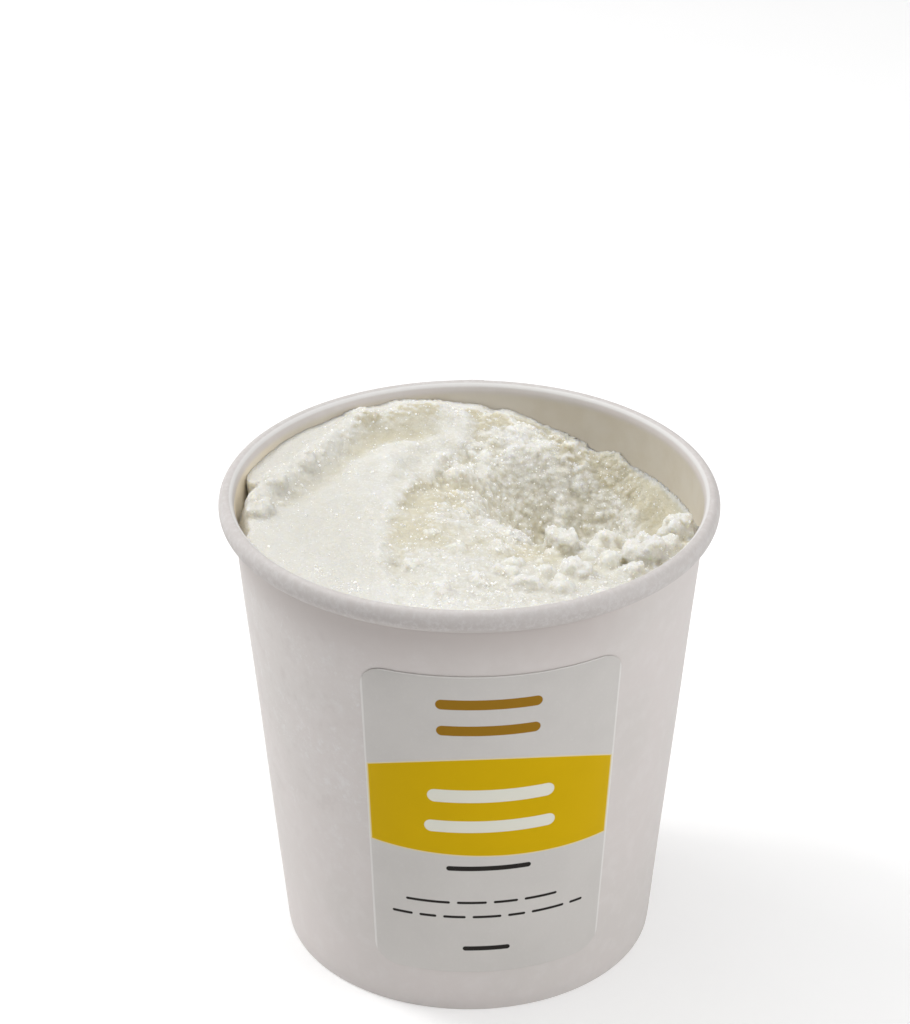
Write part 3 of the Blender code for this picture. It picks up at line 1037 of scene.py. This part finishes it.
def iceFinish(name, fused):
    # loose crumbs get a faint glow: painted light in place of the light that passes through small ice
    material, shader, start = newFinish(
        name, Specular_IOR_Level=0.42, IOR=1.31, Subsurface_Weight=0.85 if fused else 0.0,
        Subsurface_Radius=(1.0, 0.9, 0.66), Subsurface_Scale=2.2 * mm,
        Emission_Color=(1, 0.99, 0.96, 1), Emission_Strength=0 if fused else 0.16)
    place = start.node("TexCoord", output="Object")
    grains = place.node("TexVoronoi", {"feature": "F1"}, {"Vector": place, "Scale": 2100, "Randomness": 1})
    glitter = place.node("TexVoronoi", {"feature": "F1"}, {"Vector": place, "Scale": 3300, "Randomness": 1})
    pebbles = place.node("TexVoronoi", {"feature": "SMOOTH_F1"},
                         {"Vector": place, "Scale": 850, "Smoothness": 0.3})
    haze = place.cloud(2400, 3, 0.7)
    drift = place.cloud(90, 3, 0.6)
    tint = drift.rise(0.3, 0.7).blend(iceTints["clear"], iceTints["cloudy"])
    grey = grains.node("SeparateColor", None, {0: grains.other("Color")})
    tint = (grey.rise(0.5, 1.0) * 0.6).blend(tint, iceTints["grain"])
    tint = (grains.rise(0.25, 0.7) * 0.4).blend(tint, iceTints["seam"])
    if not fused:
        tint = haze.rise(0.2, 0.8).blend(iceTints["loose"], iceTints["loosePale"])
    if fused:
        crevice = start.node("Attribute", {"attribute_name": "crevice"}, None, "Fac")
        dip = start.node("Attribute", {"attribute_name": "dip"}, None, "Fac")
        # dips and crevices are darker and yellower, partly the ice's own deeper colour and partly painted
        # shade; rises and crests are whiter, partly painted light
        tint = (dip.rise(0.0, 1.4) * 0.85).blend(tint, iceTints["dip"])
        tint = (dip.rise(-0.1, -0.9) * 0.36).blend(tint, iceTints["rise"])
        tint = (crevice.rise(0.03, 0.3) * 0.4).blend(tint, iceTints["crevice"])
        tint = (crevice.rise(-0.02, -0.2) * 0.3).blend(tint, iceTints["crest"])
        # the ice on the left is darker and greyer: painted shade
        side = place.node("SeparateXYZ", None, {0: place}) / mm
        tint = (side.rise(-12, -32) * 0.65).blend(tint, iceTints["left"])
    # a few grains are clear facets that catch the light, and are painted white as painted glints
    shine = glitter.node("SeparateColor", None, {0: glitter.other("Color")})
    paintedGlintFacet = shine.rise(0.95, 0.995) * glitter.rise(0.6, 0.35)
    tint = paintedGlintFacet.blend(tint, iceTints["paintedGlintFacet"])
    height = (1 - grains) * 0.5 + (1 - pebbles) * 0.4 + haze * 0.5
    lean = place.node("VectorMath", {"operation": "SUBTRACT"},
                      {0: glitter.other("Color"), 1: (0.5, 0.5, 0.3)})
    lean = place.node("VectorMath", {"operation": "SCALE"}, {0: lean, "Scale": paintedGlintFacet * 0.5})
    normal = place.node("VectorMath", {"operation": "ADD"}, {0: height.bump(0.8, 0.3 * mm), 1: lean})
    normal = place.node("VectorMath", {"operation": "NORMALIZE"}, {0: normal})
    feed(shader, Base_Color=tint, Roughness=0.46 + haze * 0.2 - paintedGlintFacet * 0.45, Normal=normal)
    return material


def makeSorbet():
    print("sorbet: slab")
    piece = sorbetSlab()
    print("sorbet: clumps")
    placed = placeClumps()
    others = [scatterMesh("clumps", stoneTemplate(2), placed, clumps["ruffle"])]
    print("sorbet: fused skin with", len(placed), "clumps")
    fuse(piece, others)
    plainSide(piece)
    print("sorbet: relief on", len(piece.data.polygons), "faces")
    icyRelief(piece)
    pick(piece)
    thin = piece.modifiers.new("thin", "DECIMATE")
    thin.ratio = min(1, sorbet["faces"] / len(piece.data.polygons))
    bpy.ops.object.modifier_apply(modifier="thin")
    measureCrevices(piece)
    bpy.ops.object.shade_smooth()
    print("sorbet: kept", sum(len(p.vertices) - 2 for p in piece.data.polygons), "triangles")
    finishPiece(piece, "sorbet", iceFinish("sorbetIce", True), "sorbet")
    return piece


# Loose crumbs of ice
loose = {
    "seed": 23,
    "count": 2200,
    "radius": (0.11, 0.34),
    "ruffle": 0.55,
    "tries": 60000,
    "reach": 43.5,
    "chance": (0.6, 0.12),
    "dropFrom": 0.12,
    # patches where more of them lie: place and radius
    "patches": [(-32.7, -25, 4.5), (-25.5, -29.6, 4), (-19, -19, 3.5), (2, -34, 7), (18, -33, 6)],
}


def makeLoose(body):
    draw = random.Random(loose["seed"])
    placed = []
    down = Vector((0, 0, -1))
    tries = 0
    while len(placed) < loose["count"] and tries < loose["tries"]:
        tries += 1
        angle, away = draw.uniform(0, fullTurn), loose["reach"] * math.sqrt(draw.random())
        x, y = away * math.cos(angle), away * math.sin(angle)
        chance = draw.random()
        size = loose["radius"][0] + (loose["radius"][1] - loose["radius"][0]) * draw.random() ** 3
        stretch = np.array([draw.uniform(0.7, 1.3), draw.uniform(0.7, 1.3), draw.uniform(0.6, 1.1)])
        turn = randomTurn(draw)
        near = 0
        for patchX, patchY, reach in loose["patches"]:
            near = max(near, smoothStep(1.2, 0.5, math.hypot(x - patchX, y - patchY) / reach))
        rise, least = loose["chance"]
        if away > edgeAt(angle) - size - 0.1 or chance > max(rise * tornAt(x, y) + least, near):
            continue
        hit, point, normal, face = body.ray_cast(Vector((x * mm, y * mm, loose["dropFrom"])), down)
        if not hit:
            continue
        seat = point / mm + normal * size * 0.05
        placed.append((seat.x, seat.y, seat.z, size, stretch, turn))
    piece = scatterMesh("iceCrumbs", stoneTemplate(1), placed, loose["ruffle"])
    finishPiece(piece, "sorbet", iceFinish("looseIce", False))
    print("loose crumbs:", len(placed))
    return piece


# Camera, light and floor
view = {
    "focal": 3484.9,
    "frameHeight": 1024,
    "sensor": 36,
    "distance": 0.6827,
    "elevation": math.radians(28.543),
    "azimuth": math.radians(-6.2),
    "aimSide": -0.002794,
    "aimHeight": 0.092643,
}


def makeCamera():
    azimuth, elevation = view["azimuth"], view["elevation"]
    back = Vector((math.sin(azimuth) * math.cos(elevation), -math.cos(azimuth) * math.cos(elevation),
                   math.sin(elevation)))
    right = Vector((math.cos(azimuth), math.sin(azimuth), 0))
    data = bpy.data.cameras.new("studioCamera")
    data.sensor_width = view["sensor"]
    data.lens = view["focal"] / view["frameHeight"] * view["sensor"]
    data.clip_start = 0.01
    camera = bpy.data.objects.new("studioCamera", data)
    bpy.context.scene.collection.objects.link(camera)
    place = Matrix((right, back.cross(right), back)).transposed().to_4x4()
    place.translation = right * view["aimSide"] + Vector((0, 0, view["aimHeight"])) + back * view["distance"]
    camera.matrix_world = place
    bpy.context.scene.camera = camera


studio = {
    "world": 0.07,
    # soft panels: place, size and power
    "panels": [
        ((-0.1, 0.05, 1.1), (1.6, 1.6), 11.6),
        ((-0.55, 0.3, 0.95), (0.2, 0.2), 2.6),
        ((-0.9, 0.62, 0.4), (0.5, 0.9), 3.9),
        ((0.95, -0.6, 0.68), (0.8, 0.8), 5.6),
    ],
    "aim": (0, 0, 0.06),
    "floorSize": 6,
    "floorTint": (0.83, 0.83, 0.83),
    "floorDrift": (0.85, 0.85, 0.85),
    "floorGlow": 0.26,
}


def makeStudio():
    scene = bpy.context.scene
    scene.view_settings.view_transform = "Standard"
    world = bpy.data.worlds.new("studio")
    world.use_nodes = True
    world.node_tree.nodes["Background"].inputs["Color"].default_value = (1, 1, 1, 1)
    world.node_tree.nodes["Background"].inputs["Strength"].default_value = studio["world"]
    scene.world = world
    for i, (place, size, power) in enumerate(studio["panels"]):
        data = bpy.data.lights.new("panel" + str(i), "AREA")
        data.shape = "RECTANGLE"
        data.size, data.size_y = size
        data.energy = power
        panel = bpy.data.objects.new("panel" + str(i), data)
        scene.collection.objects.link(panel)
        panel.location = place
        panel.rotation_euler = (Vector(studio["aim"]) - Vector(place)).to_track_quat("-Z", "Y").to_euler()
    bpy.ops.object.select_all(action="DESELECT")
    bpy.ops.mesh.primitive_plane_add(size=studio["floorSize"])
    floor = bpy.context.object
    floor.name = "floor"
    material, shader, start = newFinish("floorWhite", Roughness=0.9, Specular_IOR_Level=0.1,
                                        Emission_Color=(1, 1, 1, 1), Emission_Strength=studio["floorGlow"])
    grain = start.node("TexCoord", output="Object").cloud(40, 3)
    feed(shader, Base_Color=grain.blend(studio["floorTint"], studio["floorDrift"]))
    floor.data.materials.append(material)


makeCamera()
makeStudio()
makeTub()
dressBase()
makeLabel()
sorbetBody = makeSorbet()
makeLoose(sorbetBody)

print("done")
